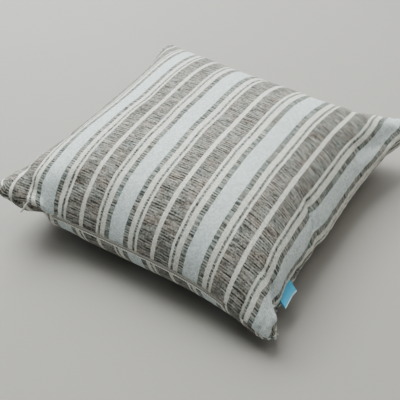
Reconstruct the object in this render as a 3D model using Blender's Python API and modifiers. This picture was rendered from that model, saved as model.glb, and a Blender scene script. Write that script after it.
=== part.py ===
"""A filled square scatter cushion lying on its back: cover, zip strip, slider, pull and side tab.

A cloth point of a panel has two coordinates from -1 to 1: u along the front seam, where the zip is,
from the raised left corner to the folded right one, and v along the stripes, from front to back.
"""

import math
from typing import NamedTuple

import bmesh
import bpy
import numpy as np
from mathutils import Vector

MM = 0.001

# The cover: two square panels sewn round their edges, then filled. A bulge is its squareness and fullness
PANEL_HALF = 225 * MM
CROWN_RISE = 82.7 * MM
CELLS = 46
TOP_BULGE = (3.3, 0.64)
BACK_BULGE = (3.3, 0.42)
BACK_FLATNESS = 1.16
CONTACT_EASE = 1.5
CORNER_ROUND = 0.09
CORNER_ROUND_REACH = 6
ROW_FALL = (3.48, 0.93)
SEAM_EASE = 1.5
CORNER_REACH = 8.2
WELD = 0.01 * MM

# The zip, sewn along the front seam
ZIP_START = -0.680
ZIP_END = 0.620
ZIP_STATIONS = 44
ZIP_DROP = 4.4 * MM
CLEAR = 0.35 * MM
ZIP_THICK = 1.2 * MM
ZIP_CLEAR = 0.7 * MM
SLIDER_AT = -0.702
SLIDER = (8.0 * MM, 2.4 * MM, 4.6 * MM)
SLIDER_ROUND = 0.7 * MM
PULL_LENGTH = 19.0 * MM
PULL_WIDTH = 3.4 * MM
PULL_THICK = 1.3 * MM
PULL_ROUND = 0.5 * MM
PULL_SWING = math.radians(27)
PULL_LEAN = math.radians(25)
PULL_HOOK = 1.95 * MM
SEAM_STEP = 0.04

# The folded side tab, sewn into the right seam near the front corner
TAB_FROM = -0.672
TAB_TO = -0.515
TAB_STATIONS = 8
TAB_LEAF_POINTS = 5
TAB_TURN_POINTS = 5
TAB_OUT = 10.5 * MM
TAB_DROP = 13.0 * MM
TAB_THICK = 1.0 * MM
TAB_GAP = 0.5 * MM
TAB_CLEAR = 2 * CLEAR + TAB_THICK + TAB_GAP / 2


class Corner(NamedTuple):
    """One sewn corner: its side in u and v, its height, and how far the filling pulls it in plan."""

    u: int
    v: int
    height: float
    pull_x: float
    pull_y: float


class Fold(NamedTuple):
    """A soft trough from one cloth point to another (a ridge if its depth is negative), with its lift."""

    u0: float
    v0: float
    u1: float
    v1: float
    spread: float
    depth: float
    lift: float


CORNERS = (
    Corner(-1, -1, 88 * MM, 30 * MM, 6 * MM),
    Corner(1, -1, 19 * MM, -23 * MM, 31 * MM),
    Corner(1, 1, 78 * MM, -6 * MM, -4 * MM),
    Corner(-1, 1, 73 * MM, 6 * MM, 1 * MM),
)
FRONT_SEAM, RIGHT_SEAM, BACK_SEAM, LEFT_SEAM = (56 * MM, 38 * MM, 70 * MM, 76 * MM)

FOLDS = (
    Fold(0.78, -0.70, 1.00, -0.76, 0.050, 6.0 * MM, 0.0),
    Fold(1.00, -0.58, 1.00, -0.70, 0.130, 11.0 * MM, 0.0),
    Fold(0.74, -0.14, 0.98, -0.20, 0.050, 3.5 * MM, 0.0),
    Fold(0.84, 0.50, 0.92, 0.80, 0.055, 5.0 * MM, 0.0),
    Fold(-0.68, -0.92, -0.90, -0.74, 0.045, 4.5 * MM, 0.0),
    Fold(0.33, 0.99, 0.36, 0.84, 0.035, 3.0 * MM, 0.0),
    Fold(0.65, 0.99, 0.62, 0.84, 0.035, 3.5 * MM, 0.0),
    Fold(-0.66, -1.00, -0.73, -1.00, 0.060, -1.5 * MM, 5.5 * MM),
)

CREAM = (0.62, 0.64, 0.63, 1.0)
GREY = (0.23, 0.22, 0.20, 1.0)
NICKEL = (0.70, 0.69, 0.66, 1.0)
BLUE = (0.05, 0.42, 0.66, 1.0)
CLOTH_ROUGHNESS, TAPE_ROUGHNESS, METAL_ROUGHNESS = (0.9, 0.7, 0.35)
SHARP_ANGLE = math.radians(40)
ROUND_SEGMENTS = 2
COLLECTION = "outdoor_cushion"


class Bulge:
    """The rounded section of a filled panel: full height in the middle, none at the seam."""

    SAMPLES = 400
    STEEPEST = 0.7
    SLOPE_COUNT = 29

    def __init__(self, squareness: float, fullness: float):
        self.squareness = squareness
        self.fullness = fullness
        self.reach = np.sin(np.linspace(0.0, math.pi / 2, self.SAMPLES))
        self.slopes = np.linspace(0.0, self.STEEPEST, self.SLOPE_COUNT)
        self.lengths = np.array([self.cloth_along(slope)[-1] for slope in self.slopes])

    def height(self, reach: np.ndarray) -> np.ndarray:
        """Height, as a share of the rise, at a share of the half width."""
        return np.clip(1.0 - np.abs(reach) ** self.squareness, 0.0, None) ** self.fullness

    def cloth_along(self, slope: float) -> np.ndarray:
        """Cloth used from the middle out, for a half width of 1 and a rise of slope."""
        steps = np.hypot(np.diff(self.reach), slope * np.diff(self.height(self.reach)))
        return np.concatenate([[0.0], np.cumsum(steps)])

    def half_width(self, rise: float) -> float:
        """Plan half width that a panel's cloth is drawn in to by this rise."""
        rises = self.slopes * PANEL_HALF / self.lengths
        slope = np.interp(rise, rises, self.slopes)
        return PANEL_HALF / float(np.interp(slope, self.slopes, self.lengths))

    def spread(self, rise: float, half: float, cloth: np.ndarray) -> np.ndarray:
        """Plan shares at which evenly laid cloth points come to lie."""
        along = self.cloth_along(rise / half)
        shares = np.interp(np.abs(cloth), along / along[-1], self.reach)
        return np.sign(cloth) * shares


def row_fall(cloth: np.ndarray) -> np.ndarray:
    """How the crown falls away from the middle row to a seam."""
    power, fullness = ROW_FALL
    return np.clip(1.0 - np.abs(cloth) ** power, 0.0, 1.0) ** fullness


def seam_height(u: np.ndarray, v: np.ndarray) -> np.ndarray:
    """Height of the surface that spans the four seams."""
    a, b = (1 + u) / 2, (1 + v) / 2
    left_front, right_front, right_back, left_back = (corner.height for corner in CORNERS)
    ease_u, ease_v = np.abs(u) ** SEAM_EASE, np.abs(v) ** SEAM_EASE
    front = FRONT_SEAM + ((1 - a) * left_front + a * right_front - FRONT_SEAM) * ease_u
    back = BACK_SEAM + ((1 - a) * left_back + a * right_back - BACK_SEAM) * ease_u
    left = LEFT_SEAM + ((1 - b) * left_front + b * left_back - LEFT_SEAM) * ease_v
    right = RIGHT_SEAM + ((1 - b) * right_front + b * right_back - RIGHT_SEAM) * ease_v
    front_line = (1 - a) * left_front + a * right_front
    back_line = (1 - a) * left_back + a * right_back
    corners_only = (1 - b) * front_line + b * back_line
    return (1 - b) * front + b * back + (1 - a) * left + a * right - corners_only


def fold_moves(u: np.ndarray, v: np.ndarray) -> tuple[np.ndarray, np.ndarray]:
    """How far the folds draw the cloth in, and lift it, at each cloth point."""
    depth = np.zeros_like(u)
    lift = np.zeros_like(u)
    for fold in FOLDS:
        run = np.array([fold.u1 - fold.u0, fold.v1 - fold.v0])
        along = ((u - fold.u0) * run[0] + (v - fold.v0) * run[1]) / (run @ run)
        along = np.clip(along, 0.0, 1.0)
        away = np.hypot(u - fold.u0 - along * run[0], v - fold.v0 - along * run[1])
        share = np.exp(-((away / fold.spread) ** 2))
        depth += fold.depth * share
        lift += fold.lift * share
    return depth, lift


def outward(points: np.ndarray) -> np.ndarray:
    """Unit normals of a grid of points, turned away from the filling's middle."""
    along_u = np.gradient(points, axis=0)
    along_v = np.gradient(points, axis=1)
    normals = np.cross(along_u, along_v)
    normals /= np.linalg.norm(normals, axis=2, keepdims=True)
    middle = np.array([0.0, 0.0, FRONT_SEAM])
    facing = np.sum(normals * (points - middle), axis=2, keepdims=True)
    return normals * np.sign(facing)


def plan_points(bulge: Bulge, cloth: np.ndarray) -> tuple[np.ndarray, np.ndarray, np.ndarray]:
    """Plan x, plan y and bulge height over a grid of cloth points."""
    top = Bulge(*TOP_BULGE)
    count = len(cloth)
    shares = np.empty((count, count))
    halves = np.empty(count)
    for row, place in enumerate(cloth):
        rise = CROWN_RISE * float(row_fall(np.array(place)))
        halves[row] = top.half_width(rise)
        shares[row] = bulge.spread(rise, halves[row], cloth)
    x = halves[None, :] * shares.T
    y = halves[:, None] * shares
    return x, y, bulge.height(shares.T) * bulge.height(shares)


def lifted(full: np.ndarray) -> np.ndarray:
    """Share of the seam's height at which the back panel lies, 0 where it rests."""
    return (1 - np.clip(BACK_FLATNESS * full, 0.0, 1.0)) ** CONTACT_EASE


def corner_scale(u: np.ndarray, v: np.ndarray) -> np.ndarray:
    """Plan scale that rounds the sewn corners and leaves the rest of the cloth alone."""
    reach = np.maximum(np.maximum(np.abs(u), np.abs(v)), MM)
    slant = np.minimum(np.abs(u), np.abs(v)) / reach
    centre = 1 - CORNER_ROUND
    across = 1 + slant**2
    root = (centre * (1 + slant)) ** 2 - across * (2 * centre**2 - CORNER_ROUND**2)
    edge = (centre * (1 + slant) + np.sqrt(np.clip(root, 0.0, None))) / across
    edge = np.where(slant > centre, edge, 1.0)
    return 1 + (edge - 1) * reach**CORNER_ROUND_REACH


def pull_corners(points: np.ndarray, u: np.ndarray, v: np.ndarray) -> None:
    """Draws each corner in by what the filling takes up there."""
    for corner in CORNERS:
        weight = ((1 + corner.u * u) / 2 * (1 + corner.v * v) / 2) ** CORNER_REACH
        points[..., 0] += weight * corner.pull_x
        points[..., 1] += weight * corner.pull_y


def panel(bulge: Bulge, is_top: bool) -> np.ndarray:
    """Points of one panel, on a square grid of cloth points."""
    cloth = np.linspace(-1.0, 1.0, CELLS + 1)
    u, v = np.meshgrid(cloth, cloth, indexing="ij")
    x, y, full = plan_points(bulge, cloth)
    seam = seam_height(u, v)
    height = seam + CROWN_RISE * full if is_top else seam * lifted(full)
    points = np.stack([x, y, height], axis=2)
    points[..., :2] *= corner_scale(u, v)[..., None]
    pull_corners(points, u, v)
    drawn, lift = (moves[..., None] for moves in fold_moves(u, v))
    points += lift * (0.0, 0.0, 1.0) * (1.0 if is_top else lifted(full)[..., None])
    if is_top:
        return points - drawn * outward(points)
    to_middle = points * (-1.0, -1.0, 0.0)
    to_middle /= np.maximum(np.linalg.norm(to_middle, axis=2, keepdims=True), MM)
    return points + drawn * to_middle


def cover_points() -> tuple[np.ndarray, np.ndarray]:
    """The top and back panels, which share the points of their seam."""
    top = panel(Bulge(*TOP_BULGE), True)
    back = panel(Bulge(*BACK_BULGE), False)
    for edge in (np.s_[0, :], np.s_[-1, :], np.s_[:, 0], np.s_[:, -1]):
        back[edge] = top[edge]
    return top, back


def along_seam(top: np.ndarray, edge: str, place: float) -> np.ndarray:
    """A point of the front or right seam at a cloth coordinate."""
    cloth = np.linspace(-1.0, 1.0, CELLS + 1)
    line = top[:, 0] if edge == "front" else top[-1, :]
    return np.array([np.interp(place, cloth, line[:, axis]) for axis in range(3)])


def material(
    name: str, colour: tuple[float, ...], roughness: float, metallic: float = 0.0
) -> bpy.types.Material:
    """A plain Principled material."""
    made = bpy.data.materials.new(name)
    made.use_nodes = True
    shader = made.node_tree.nodes["Principled BSDF"]
    shader.inputs["Base Color"].default_value = colour
    shader.inputs["Roughness"].default_value = roughness
    shader.inputs["Metallic"].default_value = metallic
    return made


def add_object(name: str, bm: bmesh.types.BMesh, finish: bpy.types.Material) -> bpy.types.Object:
    """Turns a bmesh into a smooth-shaded object of the cushion's collection."""
    mesh = bpy.data.meshes.new(name)
    bm.normal_update()
    bm.to_mesh(mesh)
    bm.free()
    mesh.materials.append(finish)
    mesh.shade_smooth()
    mesh.set_sharp_from_angle(angle=SHARP_ANGLE)
    made = bpy.data.objects.new(name, mesh)
    bpy.data.collections[COLLECTION].objects.link(made)
    return made


def add_panel(bm: bmesh.types.BMesh, points: np.ndarray, is_top: bool) -> None:
    """Lays a grid over one panel's points."""
    cells = len(points) - 1
    grid = bmesh.ops.create_grid(bm, x_segments=cells, y_segments=cells, size=1.0)
    faces = {face for vert in grid["verts"] for face in vert.link_faces}
    for vert in grid["verts"]:
        row, column = (round((share + 1) / 2 * cells) for share in vert.co.xy)
        vert.co = points[row, column]
    if not is_top:
        bmesh.ops.reverse_faces(bm, faces=list(faces))


def build_cover(top: np.ndarray, back: np.ndarray) -> bpy.types.Object:
    """The filled cover: one closed body of two panels."""
    bm = bmesh.new()
    add_panel(bm, top, True)
    add_panel(bm, back, False)
    bmesh.ops.remove_doubles(bm, verts=bm.verts, dist=WELD)
    return add_object("cushion", bm, material("striped_cloth", CREAM, CLOTH_ROUGHNESS))


def sheet(
    name: str, rows: list[list[np.ndarray]], thick: float, finish: bpy.types.Material
) -> bpy.types.Object:
    """An open strip through rows of points, given its thickness by Solidify."""
    bm = bmesh.new()
    grid = bmesh.ops.create_grid(bm, x_segments=len(rows) - 1, y_segments=len(rows[0]) - 1, size=1.0)
    for vert in grid["verts"]:
        row = round((vert.co.x + 1) / 2 * (len(rows) - 1))
        column = round((vert.co.y + 1) / 2 * (len(rows[0]) - 1))
        vert.co = rows[row][column]
    made = add_object(name, bm, finish)
    skin = made.modifiers.new("thickness", "SOLIDIFY")
    skin.thickness = thick
    skin.offset = 0.0
    return made


def round_edges(made: bpy.types.Object, width: float) -> None:
    """Rounds a small hard piece's edges."""
    rounding = made.modifiers.new("rounding", "BEVEL")
    rounding.width = width
    rounding.segments = ROUND_SEGMENTS


def build_zip_strip(top: np.ndarray) -> bpy.types.Object:
    """The closed zip's strip, just under the front seam."""
    rows = []
    for place in np.linspace(ZIP_START, ZIP_END, ZIP_STATIONS):
        seam = along_seam(top, "front", place)
        front = seam - (0.0, ZIP_CLEAR + ZIP_THICK / 2, 0.0)
        rows.append([front - (0.0, 0.0, CLEAR), front - (0.0, 0.0, ZIP_DROP)])
    return sheet("zip_strip", rows, ZIP_THICK, material("zip_tape", GREY, TAPE_ROUGHNESS))


def build_zip_slider(top: np.ndarray) -> bpy.types.Object:
    """The slider at the zip's left end."""
    seam = along_seam(top, "front", SLIDER_AT)
    after = along_seam(top, "front", SLIDER_AT + SEAM_STEP)
    bm = bmesh.new()
    bmesh.ops.create_cube(bm, size=1.0)
    bmesh.ops.scale(bm, verts=bm.verts, vec=SLIDER)
    made = add_object("zip_slider", bm, material("zip_metal", NICKEL, METAL_ROUGHNESS, 1.0))
    made.location = seam - (0.0, ZIP_CLEAR + SLIDER[1] / 2, SLIDER[2] / 2 + CLEAR)
    made.rotation_euler = (0.0, 0.0, math.atan2(after[1] - seam[1], after[0] - seam[0]))
    round_edges(made, SLIDER_ROUND)
    return made


def build_zip_pull(slider: bpy.types.Object) -> bpy.types.Object:
    """The thin pull that hangs from the slider, edge on to the front right."""
    bm = bmesh.new()
    bmesh.ops.create_cube(bm, size=1.0)
    bmesh.ops.scale(bm, verts=bm.verts, vec=(PULL_THICK, PULL_WIDTH, PULL_LENGTH))
    bmesh.ops.translate(bm, verts=bm.verts, vec=(0.0, 0.0, -PULL_LENGTH / 2))
    made = add_object("zip_pull", bm, material("pull_metal", NICKEL, METAL_ROUGHNESS, 1.0))
    made.location = slider.location + Vector((0.0, -SLIDER[1] / 2 - PULL_HOOK, SLIDER[2] / 2))
    made.rotation_euler = (-PULL_SWING, PULL_LEAN, 0.0)
    round_edges(made, PULL_ROUND)
    return made


def tab_profile() -> list[tuple[float, float]]:
    """Out and down distances round the folded tab, from its upper root to its lower root."""
    droop = math.atan2(TAB_DROP, TAB_OUT)
    length = math.hypot(TAB_OUT, TAB_DROP)
    half_gap = (TAB_GAP + TAB_THICK) / 2
    leaf = [(share * length, half_gap) for share in np.linspace(0.0, 1.0, TAB_LEAF_POINTS)]
    turn = [
        (length + half_gap * math.sin(angle), half_gap * math.cos(angle))
        for angle in np.linspace(0.0, math.pi, TAB_TURN_POINTS + 2)[1:-1]
    ]
    back_leaf = [(along, -half_gap) for along, _ in reversed(leaf)]
    path = leaf + turn + back_leaf
    return [
        (
            along * math.cos(droop) + up * math.sin(droop),
            -along * math.sin(droop) + up * math.cos(droop),
        )
        for along, up in path
    ]


def build_side_tab(top: np.ndarray) -> bpy.types.Object:
    """The blank folded tab in the right seam."""
    profile = tab_profile()
    rows = []
    for place in np.linspace(TAB_FROM, TAB_TO, TAB_STATIONS):
        root = along_seam(top, "right", place) + (TAB_CLEAR, 0.0, 0.0)
        rows.append([root + (out, 0.0, up) for out, up in profile])
    return sheet("side_tab", rows, TAB_THICK, material("blue_tape", BLUE, TAPE_ROUGHNESS))


def stand_on_origin(parts: list[bpy.types.Object]) -> None:
    """Moves the parts together so that their box stands centred on the origin."""
    bpy.context.view_layer.update()
    graph = bpy.context.evaluated_depsgraph_get()
    corners = []
    for part in parts:
        mesh = part.evaluated_get(graph).to_mesh()
        corners += [part.matrix_world @ vert.co for vert in mesh.vertices]
    low, high = np.min(corners, axis=0), np.max(corners, axis=0)
    shift = Vector(((low[0] + high[0]) / 2, (low[1] + high[1]) / 2, low[2]))
    for part in parts:
        part.location -= shift


def main() -> None:
    """Builds the cushion afresh."""
    for old in list(bpy.data.objects):
        bpy.data.objects.remove(old)
    group = bpy.data.collections.new(COLLECTION)
    bpy.context.scene.collection.children.link(group)
    top, back = cover_points()
    slider = build_zip_slider(top)
    parts = [
        build_cover(top, back),
        build_zip_strip(top),
        slider,
        build_zip_pull(slider),
        build_side_tab(top),
    ]
    stand_on_origin(parts)


if __name__ == "__main__":
    main()
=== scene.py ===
"""Looks of a filled, striped outdoor scatter cushion that lies on its back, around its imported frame.

Lengths are in metres, in the frame's own axes: +X along the front seam, which holds the zip, +Y along
the stripes and +Z up. A cloth point of a panel has two coordinates from -1 to 1: u along the front seam,
from the raised left corner to the folded right one, and v along the stripes, from front to back.
"""

from __future__ import annotations

import logging
import math
from dataclasses import dataclass, field
from enum import Enum
from typing import NamedTuple

import bmesh
import bpy
import numpy as np
from mathutils import Matrix, Vector

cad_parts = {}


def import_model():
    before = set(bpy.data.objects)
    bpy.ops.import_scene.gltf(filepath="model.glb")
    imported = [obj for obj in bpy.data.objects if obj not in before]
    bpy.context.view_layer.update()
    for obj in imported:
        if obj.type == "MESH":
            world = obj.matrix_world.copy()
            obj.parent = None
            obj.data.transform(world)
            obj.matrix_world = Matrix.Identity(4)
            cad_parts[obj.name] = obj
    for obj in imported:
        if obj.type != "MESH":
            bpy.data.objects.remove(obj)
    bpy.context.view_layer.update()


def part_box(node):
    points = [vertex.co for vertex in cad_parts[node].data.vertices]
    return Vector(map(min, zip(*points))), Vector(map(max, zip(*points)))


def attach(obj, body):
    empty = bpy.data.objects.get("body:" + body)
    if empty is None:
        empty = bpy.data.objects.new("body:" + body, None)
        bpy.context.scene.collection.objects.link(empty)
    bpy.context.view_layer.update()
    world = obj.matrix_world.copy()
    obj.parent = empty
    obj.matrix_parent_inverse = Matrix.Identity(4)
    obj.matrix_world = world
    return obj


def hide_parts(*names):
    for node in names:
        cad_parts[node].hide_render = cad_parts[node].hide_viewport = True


MM = 0.001
ROOT = "root"
CLOTH_MAP = "cloth"
LOG = logging.getLogger("cushion")

Colour = tuple[float, float, float, float]


def srgb(red: int, green: int, blue: int) -> Colour:
    """A colour read from a colour card, 0 to 255, turned into the linear values that a shader takes.

    Args:
        red: Red, 0 to 255.
        green: Green, 0 to 255.
        blue: Blue, 0 to 255.

    Returns:
        The linear colour.
    """
    shares = (channel / 255 for channel in (red, green, blue))
    linear = (s / 12.92 if s <= 0.04045 else ((s + 0.055) / 1.055) ** 2.4 for s in shares)
    return (*linear, 1.0)


class Value:
    """A number that changes over a surface: a shader socket on which Python's operators work."""

    def __init__(self, graph: Graph, socket: bpy.types.NodeSocket) -> None:
        """Keeps the socket and the graph that it is in."""
        self.graph = graph
        self.socket = socket

    def __add__(self, other: Number) -> Value:
        """Sum."""
        return self.graph.math("ADD", self, other)

    def __sub__(self, other: Number) -> Value:
        """Difference."""
        return self.graph.math("SUBTRACT", self, other)

    def __rsub__(self, other: Number) -> Value:
        """Difference from a number."""
        return self.graph.math("SUBTRACT", other, self)

    def __mul__(self, other: Number) -> Value:
        """Product."""
        return self.graph.math("MULTIPLY", self, other)

    def __abs__(self) -> Value:
        """Size without its sign."""
        return self.graph.math("ABSOLUTE", self)

    __radd__ = __add__
    __rmul__ = __mul__

    def clamped(self) -> Value:
        """The value held between 0 and 1."""
        return self.graph.math("ADD", self, 0.0, clamp=True)

    def above(self, edge: Number, softness: float) -> Value:
        """0 below an edge and 1 above it, with a soft step between.

        Args:
            edge: Where the step is.
            softness: Width of the step.

        Returns:
            The step.
        """
        return ((self - edge) * (1.0 / softness) + 0.5).clamped()

    def tuned(self, middle: float, contrast: float, level: float) -> Value:
        """The value with its middle moved to a level, held between 0 and 1.

        Args:
            middle: Middle of the value.
            contrast: How much farther apart its ends are drawn.
            level: Where the middle goes.

        Returns:
            The tuned value.
        """
        return ((self - middle) * contrast + level).clamped()

    def fraction(self) -> Value:
        """What is left over the whole number below."""
        return self.graph.math("FRACT", self)

    def whole(self) -> Value:
        """The whole number below."""
        return self.graph.math("FLOOR", self)

    def odd(self) -> Value:
        """1 at an odd whole number and 0 at an even one."""
        return (self * 0.5).fraction() * 2

    def rounded(self) -> Value:
        """Roundness of the yarn with this number: 0 at its sides and 1 along its middle."""
        return self.graph.math("SINE", self.fraction() * math.pi)


Number = Value | float


class Graph:
    """The node tree of one material, written as expressions."""

    NOISE_ROUGHNESS = 0.55

    def __init__(self, name: str) -> None:
        """Starts an empty material.

        Args:
            name: The material's name.
        """
        self.material = bpy.data.materials.new(name)
        self.material.use_nodes = True
        self.tree = self.material.node_tree
        self.shader = self.tree.nodes["Principled BSDF"]

    def node(self, kind: str, settings: dict[str, object], inputs: dict[str | int, object]) -> bpy.types.Node:
        """Adds one node.

        Args:
            kind: The node's type.
            settings: Its own settings, which are set first.
            inputs: Values or links of its sockets, by name or by number.

        Returns:
            The node.
        """
        made = self.tree.nodes.new(kind)
        for name, setting in settings.items():
            setattr(made, name, setting)
        for name, value in inputs.items():
            self.feed(made.inputs[name], value)
        return made

    def feed(self, socket: bpy.types.NodeSocket, value: object) -> None:
        """Links a value into a socket, or sets the socket to a plain number, colour or vector.

        Args:
            socket: The socket to fill.
            value: What goes into it.
        """
        source = value.socket if isinstance(value, Value) else value
        if isinstance(source, bpy.types.NodeSocket):
            self.tree.links.new(source, socket)
        else:
            socket.default_value = source

    def math(self, operation: str, first: Number, second: Number = 0.0, clamp: bool = False) -> Value:
        """One Math node, as a value."""
        settings = {"operation": operation, "use_clamp": clamp}
        return Value(self, self.node("ShaderNodeMath", settings, {0: first, 1: second}).outputs[0])

    def mix(self, share: Number, low: object, high: object, blend: str = "MIX") -> bpy.types.NodeSocket:
        """A colour between two others.

        Args:
            share: 0 for the first colour and 1 for the second.
            low: The first colour.
            high: The second colour, or what the first is multiplied by.
            blend: MIX or MULTIPLY.

        Returns:
            The mixed colour's socket.
        """
        settings = {"data_type": "RGBA", "blend_type": blend}
        return self.node("ShaderNodeMix", settings, {0: share, 6: low, 7: high}).outputs[2]

    def plane(self, across: Number, along: Number) -> bpy.types.NodeSocket:
        """A flat vector of two values, for a pattern to read."""
        made = self.node("ShaderNodeCombineXYZ", {}, {"X": across, "Y": along})
        return made.outputs["Vector"]

    def noise(self, place: bpy.types.NodeSocket, detail: float = 1.0, scale: float = 1.0) -> Value:
        """Soft noise about 0.5.

        Args:
            place: Where it is read.
            detail: How many finer layers it has.
            scale: How fine it is.

        Returns:
            The noise.
        """
        settings = {"noise_dimensions": "3D"}
        inputs = {"Vector": place, "Scale": scale, "Detail": detail, "Roughness": self.NOISE_ROUGHNESS}
        return Value(self, self.node("ShaderNodeTexNoise", settings, inputs).outputs["Fac"])

    def wave(self, turns: Number) -> Value:
        """A smooth wave from 0 to 1, one to a turn."""
        return self.math("SINE", turns * math.tau) * 0.5 + 0.5

    def lot(self, first: Number, second: Number) -> Value:
        """A number from 0 to 1 drawn for each pair of whole numbers.

        Args:
            first: One whole number.
            second: The other.

        Returns:
            The drawn number.
        """
        inputs = {"Vector": self.plane(first, second)}
        drawn = self.node("ShaderNodeTexWhiteNoise", {"noise_dimensions": "2D"}, inputs)
        return Value(self, drawn.outputs["Value"])

    def map_point(self, name: str) -> tuple[Value, Value]:
        """The two coordinates of a piece's own map.

        Args:
            name: The map's name.

        Returns:
            Both coordinates.
        """
        made = self.node("ShaderNodeUVMap", {"uv_map": name}, {})
        split = self.node("ShaderNodeSeparateXYZ", {}, {"Vector": made.outputs["UV"]})
        return Value(self, split.outputs["X"]), Value(self, split.outputs["Y"])

    def object_point(self) -> bpy.types.NodeSocket:
        """Places in the object's own axes."""
        return self.node("ShaderNodeTexCoord", {}, {}).outputs["Object"]

    def relief(self, height: Number, depth: float) -> None:
        """Bumps the surface by a height from 0 to 1 that stands for a real depth.

        Args:
            height: The height, which changes over the surface.
            depth: What a height of 1 stands for.
        """
        inputs = {"Strength": 1.0, "Distance": depth, "Height": height}
        bump = self.node("ShaderNodeBump", {}, inputs)
        self.feed(self.shader.inputs["Normal"], bump.outputs["Normal"])

    def finish(self, colour: object, roughness: object, **plain: object) -> bpy.types.Material:
        """Feeds the shader.

        Args:
            colour: Base colour, plain or a socket.
            roughness: Roughness, plain or a value.
            **plain: Other sockets by name, with _ for a space, each with one number for the whole surface.

        Returns:
            The finished material.
        """
        self.feed(self.shader.inputs["Base Color"], colour)
        self.feed(self.shader.inputs["Roughness"], roughness)
        for name, value in plain.items():
            self.shader.inputs[name.replace("_", " ")].default_value = value
        return self.material


class Grain(Enum):
    """How the yarns of a stripe show: even, as long uneven ribs, or as short rungs."""

    EVEN = "even"
    RIBBED = "ribbed"
    RUNGS = "rungs"


class Stripe(NamedTuple):
    """One stripe of half a repeat: its outer edge as a share of the repeat, its two yarns and its grain."""

    edge: float
    deep: Colour
    pale: Colour
    grain: Grain


CREAM = (srgb(198, 198, 189), srgb(252, 251, 242))
WHITE = (srgb(188, 197, 195), srgb(243, 251, 249))
BROWN = (srgb(85, 84, 79), srgb(202, 201, 195))
CHARCOAL = (srgb(93, 97, 94), srgb(194, 198, 192))

# From the middle of the medium cream stripe out to the middle of the wide white one
HALF_REPEAT = (
    Stripe(0.027, *CREAM, Grain.EVEN),
    Stripe(0.213, *BROWN, Grain.RIBBED),
    Stripe(0.246, *CREAM, Grain.EVEN),
    Stripe(0.275, *CHARCOAL, Grain.RUNGS),
    Stripe(0.336, *CREAM, Grain.EVEN),
    Stripe(0.400, *CHARCOAL, Grain.RUNGS),
    Stripe(0.500, *WHITE, Grain.EVEN),
)


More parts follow.
